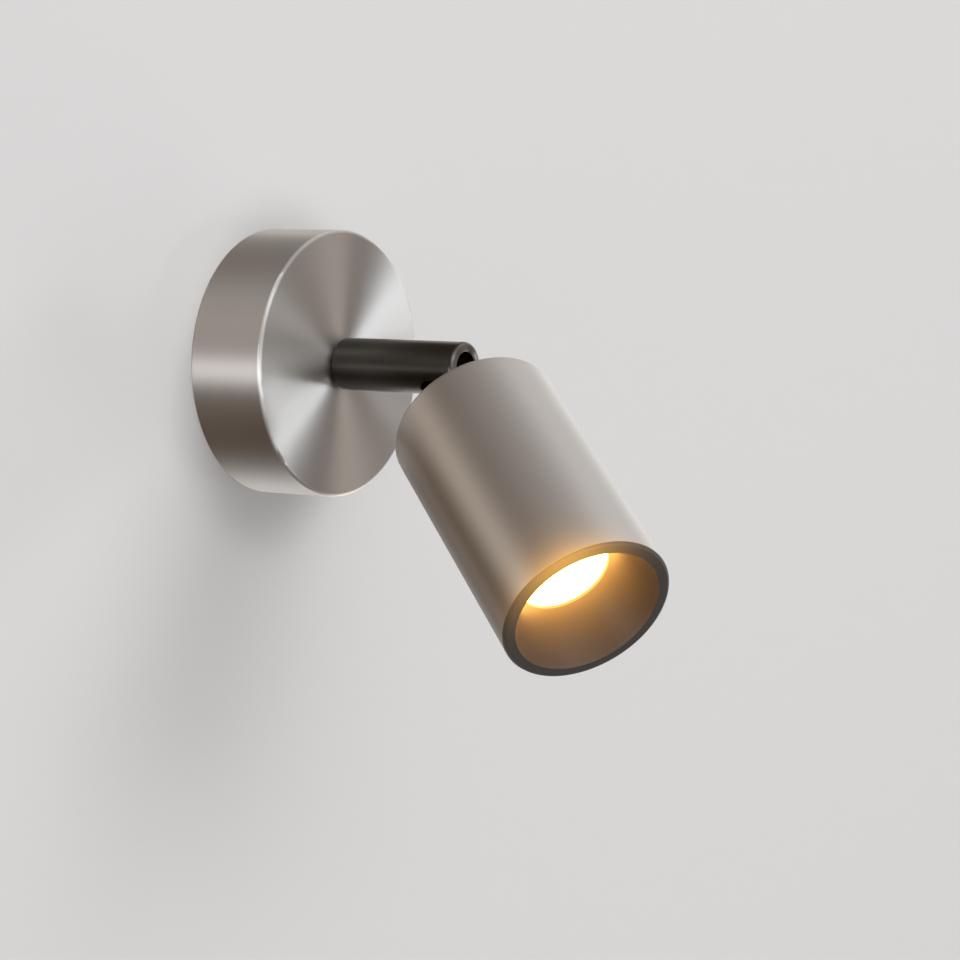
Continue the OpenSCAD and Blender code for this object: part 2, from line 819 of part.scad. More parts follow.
module spring_washer() {
  color(raw_steel) place_arm() translate([0, 0, spring_z]) difference() {
    tube(spring_r, nipple_d / 2 + fit, spring_t);
    translate([nipple_d / 4, -spring_slit / 2, -over])
      cube([spring_r, spring_slit, spring_t + 2 * over]);
  }
}

module lock_nut() {
  color(brass_yellow) place_arm() translate([0, 0, nut_z]) hex_nut(nut_af, nut_t, nipple_d / 2 + fit);
}

module pivot_screw() {
  shank_len = pivot_tip_x + pivot_head_x + pivot_head_t / 2;
  color(raw_steel) place_arm() translate([0, 0, pivot_z]) rotate([0, 90, 0]) difference() {
    union() {
      translate([0, 0, -pivot_tip_x]) cylinder(h = shank_len, d = pivot_d);
      translate([0, 0, pivot_head_x]) cylinder(h = pivot_head_t, r = pivot_head_r);
    }
    translate([0, 0, pivot_head_x + pivot_head_t - socket_r])
      cylinder(h = socket_r + over, r = socket_r, $fn = 6);
  }
}

module pivot_washers() {
  color(dark_matte) place_arm() translate([0, 0, pivot_z]) for (s = [0, 1]) mirror([s, 0, 0])
    translate([neck_r + fit, 0, 0]) rotate([0, 90, 0])
      tube(pivot_washer_r, pivot_d / 2 + fit, pivot_washer_x - neck_r - fit);
}

module arm_lead() {
  color(dark_matte) place_arm() translate([0, lead_up, nipple_z])
    cylinder(h = pivot_z - lead_slack - nipple_z, d = lead_d);
}

module knuckle() {
  color(black_nickel) place_head() difference() {
    union() {
      cylinder(h = rear_s, r = neck_r);
      rotate([0, 90, 0]) cylinder(h = neck_d, r = eye_r, center = true);
      translate([0, 0, rear_s - flange_t]) cylinder(h = flange_t, r = flange_r);
      translate([0, 0, rear_s]) cylinder(h = shank_end_s - rear_s, r = shank_r);
    }
    translate([-cheek_gap / 2, -neck_d, -neck_d]) cube([cheek_gap, 2 * neck_d, neck_d + cheek_len]);
    cylinder(h = shank_end_s + over, r = neck_bore_r);
    rotate([0, 90, 0]) cylinder(h = 2 * neck_d, r = pivot_d / 2 + fit, center = true);
  }
}

module neck_washer() {
  color(zinc) place_head() translate([0, 0, floor_s]) tube(neck_washer_r, shank_r + fit, neck_washer_t);
}

module neck_nut() {
  color(zinc) place_head() translate([0, 0, floor_s + neck_washer_t])
    hex_nut(neck_nut_af, neck_nut_t, shank_r + fit);
}

module head_housing() {
  color(satin) place_head() translate([0, 0, rear_s]) rotate_extrude() difference() {
    translate([0, sleeve_len]) mirror([0, 1]) disc_profile(head_r, sleeve_len, rear_edge_r);
    translate([0, rear_wall]) square([head_r_in, sleeve_len]);
    translate([0, -over]) square([shank_r + fit, rear_wall + 2 * over]);
  }
}

module heat_sink() {
  color(raw_alu) place_head() difference() {
    union() {
      translate([0, 0, sink_s]) cylinder(h = sink_base_t, r = sink_r);
      for (i = [0 : fin_count - 1]) rotate([0, 0, (i + 0.5) * 360 / fin_count])
        translate([fin_bore_r, -fin_t / 2, floor_s])
          cube([sink_r - fin_bore_r - slip, fin_t, sink_s - floor_s + sink_base_t / 2]);
    }
    translate([0, lead_out, sink_s - over]) cylinder(h = sink_base_t + 2 * over, r = lead_hole_r);
    for (s = [-1, 1]) translate([s * board_screw_x, 0, pad_s - board_screw_grip])
      cylinder(h = board_screw_grip + over, r = board_screw_d / 2 + fit);
  }
}

// Flat disc on the head's axis with the lead's hole and the two screw holes
module engine_disc(s, t) {
  translate([0, 0, s]) difference() {
    cylinder(h = t, d = board_d);
    translate([0, lead_out, -over]) cylinder(h = t + 2 * over, r = lead_hole_r);
    for (x = [-1, 1]) translate([x * board_screw_x, 0, -over])
      cylinder(h = t + 2 * over, r = board_screw_d / 2 + fit);
  }
}

module thermal_pad() {
  color([0.55, 0.60, 0.66]) place_head() engine_disc(pad_s, pad_t);
}

module led_board() {
  color(white_plastic) place_head() engine_disc(board_s, board_t);
}

module board_screws() {
  color(raw_steel) place_head() for (x = [-1, 1])
    translate([x * board_screw_x, 0, board_s + board_t])
      pan_screw(board_screw_d, board_screw_grip + board_t, board_screw_head_r, board_screw_head_t);
}

module led_package() {
  color(white_plastic) place_head() translate([-package_w / 2, -package_w / 2, board_s + board_t])
    cube([package_w, package_w, package_t]);
}

module led_emitter() {
  color([1, 0.85, 0.35]) place_head() translate([0, 0, board_s + board_t + package_t])
    cylinder(h = emitter_t, d = emitter_d);
}

// Radius of the lens at a share u of its length from the rear
function lens_wall_r(u) = lens_rear_r + (light_r - slip - lens_rear_r) * pow(u, lens_curve_share);
// Outline of the lens's curved side, moved outwards by grow
function lens_side(grow) = [
  for (i = [0 : lens_steps])
    [lens_wall_r(i / lens_steps) + grow, lens_rear_s + (lens_seat_s - lens_rear_s) * i / lens_steps]
];

module lens_cup() {
  foot_s = board_s + board_t + package_t;
  color(dark_matte) place_head() rotate_extrude() difference() {
    union() {
      polygon(concat([[0, lens_rear_s]], lens_side(slip + cup_wall), [[0, lens_seat_s]]));
      translate([0, foot_s]) square([lens_rear_r + slip + cup_wall, lens_rear_s - foot_s]);
      translate([0, lens_seat_s - cup_wall]) square([lens_flange_r, cup_wall]);
    }
    polygon(concat([[0, lens_rear_s]], lens_side(slip), [[0, lens_seat_s + over], [0, lens_seat_s]]));
    translate([0, foot_s - over]) square([lens_rear_r + slip, lens_rear_s - foot_s + 2 * over]);
    translate([0, lens_seat_s - slip]) square([light_r, over]);
  }
}

module lens() {
  color([0.95, 0.93, 0.88]) place_head() rotate_extrude() difference() {
    union() {
      polygon(concat([[0, lens_rear_s]], lens_side(0), [[0, lens_seat_s]]));
      translate([0, lens_seat_s]) square([lens_flange_r, lens_flange_t]);
    }
    translate([0, lens_rear_s - over]) square([lens_well_r, lens_well_depth + over]);
  }
}

module front_baffle() {
  collar_r = lens_flange_r + fit + collar_wall;
  cone_back_s = light_s - lip_t;
  seal_s = front_s - seal_back;
  rise = mouth_r - light_r;
  color(dark_matte) place_head() rotate_extrude() difference() {
    union() {
      translate([0, front_s]) disc_profile(ring_r, ring_proud, ring_edge_r);
      translate([0, front_s - plug_len]) square([plug_r, plug_len]);
      translate([0, cone_back_s]) square([collar_r, light_depth]);
      translate([0, light_s - collar_len]) square([collar_r, collar_len]);
      polygon([[0, light_s], [light_r + cone_wall, light_s - cone_wall],
        [mouth_r + cone_wall, front_s], [0, front_s]]);
    }
    polygon([[0, light_s], [light_r, light_s], [mouth_r, front_s + ring_proud],
      [mouth_r, front_s + ring_proud + over], [0, front_s + ring_proud + over]]);
    translate([0, light_s - collar_len - over])
      square([lens_flange_r + fit, collar_len + over - lip_t]);
    translate([0, light_s - lip_t - over]) square([light_r, lip_t + 2 * over]);
    translate([0, front_s - plug_len - over])
      polygon([[collar_r, 0], [plug_r - plug_wall, 0], [plug_r - plug_wall, plug_len - plug_wall]]);
    translate([plug_r - seal_d - fit, seal_s - seal_d / 2 - fit])
      square([seal_d + over, seal_d + 2 * fit]);
  }
}

module seal_ring() {
  color(rubber_black) place_head() translate([0, 0, front_s - seal_back])
    rotate_extrude() translate([plug_r - seal_d / 2, 0]) circle(d = seal_d);
}

// Lead from the knuckle's pin through the neck and the heat sink to the board
module head_lead() {
  dip = lead_up - lead_low;
  dip_len = shift_len(dip, lead_dip_a, lead_dip_r);
  lift = lead_out - lead_low;
  lift_len = shift_len(lift, lead_lift_a, lead_lift_r);
  color(dark_matte) place_head() rotate([-tilt_rest, 0, 0]) translate([0, lead_up, 0]) lead_run([
    [0, tilt_rest, -90, lead_up],
    [0, lead_dip_a, 0, lead_dip_r],
    [shift_run(dip, lead_dip_a, lead_dip_r), lead_dip_a, 180, lead_dip_r],
    [shank_end_s - dip_len + lead_r, lead_lift_a, 0, lead_lift_r],
    [shift_run(lift, lead_lift_a, lead_lift_r), lead_lift_a, 180, lead_lift_r],
    [lead_out_s - shank_end_s - lead_r - lift_len, 0, 0, 0]
  ], lead_d);
}

wall_plate();
cable_bush();
canopy();
canopy_screw();
stop_pin();
friction_washer();
driver_case();
driver_cover();
driver_board();
driver_screws();
terminal_block();
terminal_clamps();
terminal_screws();
block_screws();
supply_leads();
earth_screw();
earth_tag();
earth_lead();
output_lead();
arm_tube();
arm_washer();
arm_nipple();
stop_washer();
spring_washer();
lock_nut();
pivot_screw();
pivot_washers();
arm_lead();
knuckle();
neck_washer();
neck_nut();
head_housing();
heat_sink();
thermal_pad();
led_board();
board_screws();
led_package();
led_emitter();
lens_cup();
lens();
front_baffle();
seal_ring();
head_lead();
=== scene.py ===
"""Finishes, light and camera for a wall spotlight with a nickel canopy, a dark arm and a satin head."""

import json
import math

import bpy
from bpy.props import FloatProperty, FloatVectorProperty, PointerProperty
from mathutils import Matrix, Vector


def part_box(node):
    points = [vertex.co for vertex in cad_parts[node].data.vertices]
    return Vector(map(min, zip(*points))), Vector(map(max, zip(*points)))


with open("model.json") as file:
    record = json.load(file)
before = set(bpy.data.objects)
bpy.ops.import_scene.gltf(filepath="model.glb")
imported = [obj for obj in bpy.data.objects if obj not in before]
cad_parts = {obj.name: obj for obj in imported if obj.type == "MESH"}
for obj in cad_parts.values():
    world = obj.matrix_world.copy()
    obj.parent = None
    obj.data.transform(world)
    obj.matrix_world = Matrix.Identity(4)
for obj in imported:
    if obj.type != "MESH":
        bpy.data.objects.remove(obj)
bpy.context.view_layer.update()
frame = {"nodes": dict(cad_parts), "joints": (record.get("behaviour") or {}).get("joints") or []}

bl_info = {
    "name": "Wall spotlight",
    "version": (1, 0, 0),
    "blender": (4, 5, 0),
    "location": "3D View > Sidebar > Spotlight",
    "description": "Finishes, light and camera for a wall spotlight with a turning arm and a tilting head",
    "category": "Object",
}

MM = 0.001

# Camera, fitted to the photograph: where it looks from, how far off, and what it aims at, in metres
VIEW_AZIMUTH = -56.634
VIEW_ELEVATION = 5.698
VIEW_DISTANCE = 0.88549
AIM_RIGHT = 0.06241
AIM_UP = -0.03622
LENS_MM = 109.07
SENSOR_MM = 36
NEAREST_SEEN = 0.01


def joint(name):
    """The joint of that name in the frame."""
    return next(j for j in frame["joints"] if j["name"] == name)


def middle(node):
    """Centre of a node's box at rest."""
    low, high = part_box(node)
    return (low + high) / 2


ARM_POINT = Vector(joint("arm_turn")["pos_m"])
ARM_AXIS = Vector((0, -1, 0))
HEAD_POINT = Vector(joint("head_tilt")["pos_m"])
HEAD_AXIS = (middle("led_emitter") - HEAD_POINT).normalized()
TILT_AXIS = Vector(joint("head_tilt")["axis"]).normalized()


def reach(node, point, axis):
    """How near and how far a node lies from a point, along an axis."""
    along = [(v.co - point).dot(axis) for v in frame["nodes"][node].data.vertices]
    return min(along), max(along)


def girth(node, point, axis):
    """Largest distance of a node's points from an axis."""
    offsets = [v.co - point for v in frame["nodes"][node].data.vertices]
    return max((o - axis * o.dot(axis)).length for o in offsets)


CANOPY_R = girth("canopy", ARM_POINT, ARM_AXIS)
CANOPY_FRONT = reach("canopy", ARM_POINT, ARM_AXIS)[1]
HEAD_R = girth("head_housing", HEAD_POINT, HEAD_AXIS)
HEAD_FRONT = reach("head_housing", HEAD_POINT, HEAD_AXIS)[1]
RING_FRONT = reach("front_baffle", HEAD_POINT, HEAD_AXIS)[1]
LENS_FRONT = reach("lens", HEAD_POINT, HEAD_AXIS)[1]
LENS_R = girth("lens", HEAD_POINT, HEAD_AXIS)
ARM_FRONT = reach("arm_tube", ARM_POINT, ARM_AXIS)[1]
KNUCKLE_FRONT = reach("knuckle", HEAD_POINT, HEAD_AXIS)[1]

# Painted warm glow on the mouth's lip, standing in for the lit disc's spill: where it is brightest, and the
# distances round the mouth and behind the lip in which it falls to about a third
LIP_SIDE = (HEAD_AXIS.cross(TILT_AXIS) * 0.2 - TILT_AXIS).normalized()
LIP_POINT = HEAD_POINT + HEAD_AXIS * RING_FRONT + LIP_SIDE * HEAD_R
PAINTED_HALO_WIDTH = 15 * MM
PAINTED_HALO_DEPTH = 5 * MM
# Distance in which the painted glow of the lens's light on the cone in front of it falls to about a third
PAINTED_GLOW_DEPTH = 3.2 * MM

# Blend from the canopy's grooves to its polished edge: inside the side, and behind the face
POLISH_INSIDE = 1.3 * MM, 0.7 * MM
POLISH_BEHIND = 1.2 * MM, 0.7 * MM
# Blend from plating to the bare cut end, behind that end
CUT_BEHIND = 0.7 * MM, 0.3 * MM
# Half the blend from the baffle's cone to its front ring
RING_BLEND = 0.2 * MM
# Blend from the clear lens to its lit front, behind the front, and width of its warmer rim
LIT_BEHIND = 0.4 * MM, 0.1 * MM
LENS_RIM = 2.5 * MM
# Brightness of that rim next to the middle
LENS_RIM_SHARE = 0.45

# Large soft lamp in the room, aimed at the part
KEY_AZIMUTH = 8
KEY_ELEVATION = 27
KEY_DISTANCE = 3
KEY_SIDE = 1.8

# How far the wall's surface lies behind the wall plate, so that the two faces don't coincide
WALL_GAP = 0.2 * MM

# The tints, the lights and the glow below were not chosen by hand. A search program fitted them to the
# brightness of the metal in the photograph, and they were rounded. Only the light at -20, 35 was set outside
# that search.

# Tints of the room's lights
COOL = (0.93, 1.0, 1.07)
WHITE = (0.98, 1.0, 1.02)
WARM = (1.1, 1.0, 0.9)

# Azimuth, elevation and half width in degrees, brightness and tint of each soft light in the room
ROOM_LIGHTS = (
    (40, -9, 3, 15.0, COOL),
    (-90, -5, 9, 5.0, WHITE),
    (20, -27, 4, 5.0, COOL),
    (-10, -15, 15, 3.0, WHITE),
    (80, -30, 10, 2.5, WARM),
    (130, -45, 20, 1.2, WHITE),
    (110, 5, 20, 1.2, WHITE),
    (125, 35, 5, 0.9, WARM),
    (-20, 35, 10, 2.0, WHITE),
    (-40, 40, 40, 0.6, WHITE),
    (70, 45, 25, 0.6, WHITE),
    (-145, 15, 15, 0.6, WARM),
    (175, -15, 7, 0.25, WARM),
)
# Faint light that comes from all round the room
ROOM_GLOW = (0.065, 0.035, 0.015)


def direction(azimuth, elevation):
    """Unit vector; azimuth 0 is the room side and 90 is +X, elevation is above the horizon, in degrees."""
    a, e = math.radians(azimuth), math.radians(elevation)
    return Vector((math.sin(a) * math.cos(e), -math.cos(a) * math.cos(e), math.sin(e)))


class Graph:
    """One node tree, built a node at a time. An input is a number, a vector, a colour or another socket."""

    def __init__(self, tree):
        self.tree = tree
        tree.nodes.clear()

    def add(self, kind, inputs=(), out=0, **settings):
        node = self.tree.nodes.new(kind)
        for key, value in settings.items():
            setattr(node, key, value)
        for key, value in dict(inputs).items():
            self.put(node.inputs[key], value)
        return node.outputs[out] if node.outputs else None

    def put(self, socket, value):
        if isinstance(value, bpy.types.NodeSocket):
            self.tree.links.new(value, socket)
        elif isinstance(value, Vector):
            socket.default_value = tuple(value)
        else:
            socket.default_value = value

    def math(self, operation, a, b=0.0, c=0.0):
        return self.add("ShaderNodeMath", {0: a, 1: b, 2: c}, operation=operation)

    def vector(self, operation, a, b=(0, 0, 0), scale=1.0, out=0):
        inputs = {0: a, 3: scale} if operation == "SCALE" else {0: a, 1: b}
        return self.add("ShaderNodeVectorMath", inputs, out, operation=operation)

    def step(self, value, low, high):
        """Smooth 0 to 1 as value goes from low to high."""
        return self.add(
            "ShaderNodeMapRange",
            {"Value": value, "From Min": low, "From Max": high},
            interpolation_type="SMOOTHSTEP",
        )

    def between(self, value, low, high, trim=0.0):
        """Value spread over low to high, from trim to 1 less trim."""
        limits = {"From Min": trim, "From Max": 1 - trim, "To Min": low, "To Max": high}
        return self.add("ShaderNodeMapRange", {"Value": value, **limits})

    def mix(self, share, a, b):
        """Colour a where share is 0, and b where it is 1."""
        return self.add("ShaderNodeMix", {0: share, 6: a, 7: b}, 2, data_type="RGBA")

    def blend(self, share, a, b):
        """Number a where share is 0, and b where it is 1."""
        return self.add("ShaderNodeMix", {0: share, 2: a, 3: b})

    def shaded(self, cloud, share, colour, shade):
        """The colour, darkened towards its shade in the cloud's denser places."""
        dark = [c * shade for c in colour[:3]] + [1]
        return self.mix(self.between(cloud, 0.0, share), colour, dark)

    def noise(self, vector, scale, detail=3.0, roughness=0.5):
        return self.add(
            "ShaderNodeTexNoise",
            {"Vector": vector, "Scale": scale, "Detail": detail, "Roughness": roughness},
        )

    def join(self, x, y, z):
        return self.add("ShaderNodeCombineXYZ", {0: x, 1: y, 2: z})

    def place(self):
        """A point's place on the part at rest, in metres."""
        return self.add("ShaderNodeTexCoord", out="Object")

    def painted_halo(self):
        """Brightness of the painted warm glow on the lip of the mouth, standing in for the lit disc's spill,
        less away from it.
        """
        offset = self.vector("SUBTRACT", self.place(), LIP_POINT)
        behind = self.vector("DOT_PRODUCT", offset, HEAD_AXIS, out="Value")
        lengthwise = self.vector("SCALE", HEAD_AXIS, scale=behind)
        sideways = self.vector("LENGTH", self.vector("SUBTRACT", offset, lengthwise), out="Value")
        ratio = self.math("DIVIDE", sideways, PAINTED_HALO_WIDTH)
        lengthwise_fall = self.math("DIVIDE", behind, PAINTED_HALO_DEPTH)
        fall = self.math("SUBTRACT", lengthwise_fall, self.math("MULTIPLY", ratio, ratio))
        return self.math("MULTIPLY", self.math("EXPONENT", fall), light().painted_halo_strength)

    def bump(self, height, distance, strength):
        return self.add("ShaderNodeBump", {"Height": height, "Distance": distance, "Strength": strength})


class Turning:
    """Distances measured round an axis, for grooves that a lathe or a polishing wheel leaves."""

    def __init__(self, graph, point, axis):
        offset = graph.vector("SUBTRACT", graph.place(), point)
        self.along = graph.vector("DOT_PRODUCT", offset, axis, out="Value")
        lengthwise = graph.vector("SCALE", axis, scale=self.along)
        self.spoke = graph.vector("SUBTRACT", offset, lengthwise)
        self.radius = graph.vector("LENGTH", self.spoke, out="Value")
        self.graph = graph
        self.axis = axis

    def groove(self):
        """Direction of the grooves, round the axis, as the shader wants it."""
        across = self.graph.vector("CROSS_PRODUCT", self.axis, self.spoke)
        return self.graph.add(
            "ShaderNodeVectorTransform",
            {0: across},
            vector_type="VECTOR",
            convert_from="OBJECT",
            convert_to="WORLD",
        )

    def rings(self, scale):
        """Noise in rings: it changes with radius and along the axis, and little round it."""
        graph = self.graph
        little_round = graph.vector("SCALE", self.spoke, scale=0.02)
        ring = graph.join(self.radius, self.along, self.along)
        return graph.noise(graph.vector("ADD", little_round, ring), scale, detail=4.0, roughness=0.6)


def material(name, build, **settings):
    """A node material: build puts the shader together from its settings and returns it."""
    made = bpy.data.materials.new(name)
    made.use_nodes = True
    graph = Graph(made.node_tree)
    graph.add("ShaderNodeOutputMaterial", {"Surface": build(graph, **settings)})
    return made


def principled(graph, **inputs):
    """The main shader; an input's name has an underscore for each space."""
    return graph.add("ShaderNodeBsdfPrincipled", {k.replace("_", " "): v for k, v in inputs.items()})


def dress(made, slot, *nodes):
    """Gives CAD nodes a finish; slot, the name of the record's finish, is not used."""
    for name in nodes:
        part = frame["nodes"][name]
        part.data.materials.clear()
        part.data.materials.append(made)
        for face in part.data.polygons:
            face.material_index = 0


# Finishes

# Tint of nickel seen edge on, a little darker than a mirror
EDGE_TINT = (0.85, 0.85, 0.85, 1)


def turned_nickel(graph, colour, edge_colour, groove_mm):
    """Nickel with grooves round the canopy's axis, and a polished front edge."""
    turning = Turning(graph, ARM_POINT, ARM_AXIS)
    rings = turning.rings(1 / (groove_mm * MM))
    cloud = graph.noise(graph.place(), 35)
    at_side = graph.step(turning.radius, *(CANOPY_R - inside for inside in POLISH_INSIDE))
    at_face = graph.step(turning.along, *(CANOPY_FRONT - behind for behind in POLISH_BEHIND))
    edge = graph.math("MULTIPLY", at_side, at_face)
    grooved = graph.between(rings, 0.375, 0.405, trim=0.25)
    return principled(
        graph,
        Base_Color=graph.mix(edge, graph.shaded(cloud, 0.35, colour, 0.86), edge_colour),
        Metallic=1.0,
        Specular_Tint=EDGE_TINT,
        Roughness=graph.blend(edge, grooved, 0.38),
        Anisotropic=0.98,
        Anisotropic_Rotation=0.25,
        Tangent=turning.groove(),
        Normal=graph.bump(rings, 2e-6, 0.5),
    )


def satin_nickel(graph, colour, grain_mm):
    """Nickel plated over a finely blasted surface, with a painted warm glow near the mouth's lip."""
    grain = graph.noise(graph.place(), 1 / (grain_mm * MM), detail=2.0)
    cloud = graph.noise(graph.place(), 28, detail=4.0)
    return principled(
        graph,
        Base_Color=graph.shaded(cloud, 0.3, colour, 0.9),
        Metallic=1.0,
        Specular_Tint=EDGE_TINT,
        Roughness=graph.between(cloud, 0.335, 0.365, trim=0.3),
        # Emission paints the lit disc's warm glow on the lip, though the housing is no lamp
        Emission_Color=light().painted_halo,
        Emission_Strength=graph.painted_halo(),
        Normal=graph.bump(grain, 6e-6, 0.35),
    )


def black_nickel(graph, colour, end_colour, point, axis, end):
    """Dark plating polished round an axis, and a paler face where the piece is cut off at its end."""
    turning = Turning(graph, point, axis)
    at_end = graph.step(turning.along, *(end - behind for behind in CUT_BEHIND))
    cloud = graph.noise(graph.place(), 60)
    polished = graph.between(cloud, 0.2, 0.24, trim=0.3)
    return principled(
        graph,
        Base_Color=graph.mix(at_end, graph.shaded(cloud, 0.4, colour, 0.75), end_colour),
        Metallic=1.0,
        Roughness=graph.blend(at_end, polished, 0.35),
        Anisotropic=0.97,
        Anisotropic_Rotation=0.25,
        Tangent=turning.groove(),
        Normal=graph.bump(turning.rings(2500), 1e-6, 0.3),
    )


def black_anodised(graph, colour, ring_colour):
    """Matte black on machined aluminium, with a front ring that is a little greyer, and a painted glow from
    the lens on the cone and at the lip.
    """
    turning = Turning(graph, HEAD_POINT, HEAD_AXIS)
    cloud = graph.noise(graph.place(), 90, detail=4.0)
    at_ring = graph.step(turning.along, HEAD_FRONT - RING_BLEND, HEAD_FRONT + RING_BLEND)
    # Emission paints the lens's light on the cone, fading away from the lens, and the warm glow on the lip
    from_lens = graph.math("DIVIDE", graph.math("SUBTRACT", LENS_FRONT, turning.along), PAINTED_GLOW_DEPTH)
    glow = graph.math("MULTIPLY", graph.math("EXPONENT", from_lens), light().painted_lens_glow)
    tone = graph.mix(at_ring, colour, ring_colour)
    return principled(
        graph,
        Base_Color=graph.mix(graph.between(cloud, 0.0, 0.5), tone, colour),
        Roughness=graph.between(cloud, 0.42, 0.52, trim=0.3),
        Specular_IOR_Level=0.5,
        Emission_Color=light().painted_halo,
        Emission_Strength=graph.math("ADD", graph.painted_halo(), glow),
        Normal=graph.bump(turning.rings(3000), 5e-6, 0.4),
    )


def plain_metal(graph, colour, roughness, grain):
    """Bare or plated metal with an uneven tone and a fine grain, so many to the metre."""
    fine = graph.noise(graph.place(), grain, detail=4.0)
    cloud = graph.noise(graph.place(), 120)
    return principled(
        graph,
        Base_Color=graph.shaded(cloud, 0.5, colour, 0.8),
        Metallic=1.0,
        Roughness=graph.between(fine, roughness - 0.08, roughness + 0.08),
        Normal=graph.bump(fine, 8e-6, 0.4),
    )


def moulded(graph, colour, roughness, grain):
    """Moulded plastic or rubber with a fine skin, its grain so many to the metre."""
    skin = graph.noise(graph.place(), grain)
    cloud = graph.noise(graph.place(), 80)
    return principled(
        graph,
        Base_Color=graph.shaded(cloud, 0.4, colour, 0.85),
        Roughness=graph.between(cloud, roughness - 0.06, roughness + 0.06),
        Normal=graph.bump(skin, 1.2e-5, 0.4),
    )


def circuit_board(graph, colour, track_colour):
    """Coated board with paler tracks under the lacquer."""
    cells = graph.add(
        "ShaderNodeTexVoronoi",
        {"Vector": graph.place(), "Scale": 420.0},
        out="Distance",
        feature="F2",
        distance="CHEBYCHEV",
    )
    tracks = graph.step(cells, 0.75, 0.85)
    return principled(
        graph,
        Base_Color=graph.mix(tracks, colour, track_colour),
        Roughness=graph.between(tracks, 0.28, 0.4),
        Normal=graph.bump(tracks, 2e-5, 0.5),
    )


def lit_lens(graph, glass_colour, glow_colour, rim_colour, strength):
    """Clear lens body whose front is lit through, brightest in the middle."""
    turning = Turning(graph, HEAD_POINT, HEAD_AXIS)
    cloud = graph.noise(graph.place(), 600)
    body = principled(
        graph,
        Base_Color=glass_colour,
        Roughness=graph.between(cloud, 0.06, 0.16),
        IOR=1.49,
        Transmission_Weight=1.0,
    )
    at_front = graph.step(turning.along, *(LENS_FRONT - behind for behind in LIT_BEHIND))
    rim = graph.step(turning.radius, LENS_R - LENS_RIM, LENS_R)
    colour = graph.mix(rim, glow_colour, rim_colour)
    brightness = graph.between(rim, strength, strength * LENS_RIM_SHARE)
    glow = graph.add("ShaderNodeEmission", {"Color": colour, "Strength": brightness})
    return graph.add("ShaderNodeMixShader", {0: at_front, 1: body, 2: glow})


def lit_phosphor(graph, colour, strength):
    """Yellow light-emitting surface with a fine grain."""
    grain = graph.noise(graph.place(), 4000)
    return principled(
        graph,
        Base_Color=colour,
        Roughness=graph.between(grain, 0.4, 0.6),
        Emission_Color=colour,
        Emission_Strength=strength,
        Normal=graph.bump(grain, 1e-5, 0.4),
    )


def painted_wall(graph, colour):
    """Pale matte paint; seen from behind, the wall isn't there, so that the back of the part shows."""
    grain = graph.noise(graph.place(), 900)
    paint = principled(
        graph,
        Base_Color=colour,
        Roughness=0.9,
        Specular_IOR_Level=0.1,
        Normal=graph.bump(grain, 2e-5, 0.1),
    )
    rear = graph.add("ShaderNodeNewGeometry", out="Backfacing")
    clear = graph.add("ShaderNodeBsdfTransparent")
    return graph.add("ShaderNodeMixShader", {0: rear, 1: paint, 2: clear})


# Settings

def colour_setting(name, description, default):
    return FloatVectorProperty(
        name=name,
        description=description,
        subtype="COLOR",
        size=4,
        min=0,
        max=1,
        default=default,
    )


def fine_setting(name, description, default):
    return FloatProperty(name=name, description=description, default=default, min=0.01, max=5, precision=3)


def strength_setting(name, description, default, most):
    return FloatProperty(name=name, description=description, default=default, min=0, max=most)


class SpotlightMetals(bpy.types.PropertyGroup):
    """Finishes of the metal pieces"""

    canopy_colour: colour_setting("Canopy", "Colour of the turned nickel", (0.80, 0.775, 0.745, 1))
    edge_colour: colour_setting("Canopy edge", "Colour of the polished edge", (0.97, 0.96, 0.94, 1))
    groove_mm: fine_setting("Groove", "Spacing of the canopy's turned grooves, in millimetres", 0.16)
    head_colour: colour_setting("Head", "Colour of the satin nickel", (0.80, 0.775, 0.745, 1))
    grain_mm: fine_setting("Grain", "Size of the head's blasted grain, in millimetres", 0.12)
    arm_colour: colour_setting("Arm", "Colour of the black nickel", (0.1, 0.094, 0.086, 1))
    arm_end_colour: colour_setting("Arm end", "Colour of the arm's cut end", (0.3, 0.28, 0.26, 1))
    ring_colour: colour_setting("Ring", "Colour of the front ring's face", (0.05, 0.048, 0.048, 1))
    baffle_colour: colour_setting("Baffle", "Colour of the deep cone", (0.045, 0.042, 0.04, 1))
    zinc_colour: colour_setting("Zinc", "Colour of plated steel inside", (0.62, 0.64, 0.66, 1))
    screw_colour: colour_setting("Screws", "Colour of the screws", (0.56, 0.56, 0.56, 1))
    brass_colour: colour_setting("Brass", "Colour of the brass pieces", (0.78, 0.58, 0.26, 1))
    cast_colour: colour_setting("Heat sink", "Colour of the raw aluminium", (0.72, 0.73, 0.75, 1))


class SpotlightInsides(bpy.types.PropertyGroup):
    """Plastics, rubber, leads and boards"""

    white_plastic: colour_setting("Driver case", "White moulded plastic", (0.78, 0.78, 0.75, 1))
    black_plastic: colour_setting("Black plastic", "Terminal block and bush", (0.02, 0.02, 0.021, 1))
    rubber: colour_setting("Seal", "Black rubber", (0.018, 0.018, 0.018, 1))
    brown: colour_setting("Live lead", "Brown insulation", (0.12, 0.05, 0.025, 1))
    green: colour_setting("Earth lead", "Green insulation", (0.10, 0.36, 0.06, 1))
    board: colour_setting("Board", "Green circuit board", (0.01, 0.10, 0.04, 1))
    tracks: colour_setting("Tracks", "Tracks under the lacquer", (0.03, 0.2, 0.08, 1))
    white_board: colour_setting("LED board", "White lacquer on the LED board", (0.82, 0.82, 0.8, 1))
    pad: colour_setting("Thermal pad", "Soft grey pad", (0.27, 0.32, 0.38, 1))


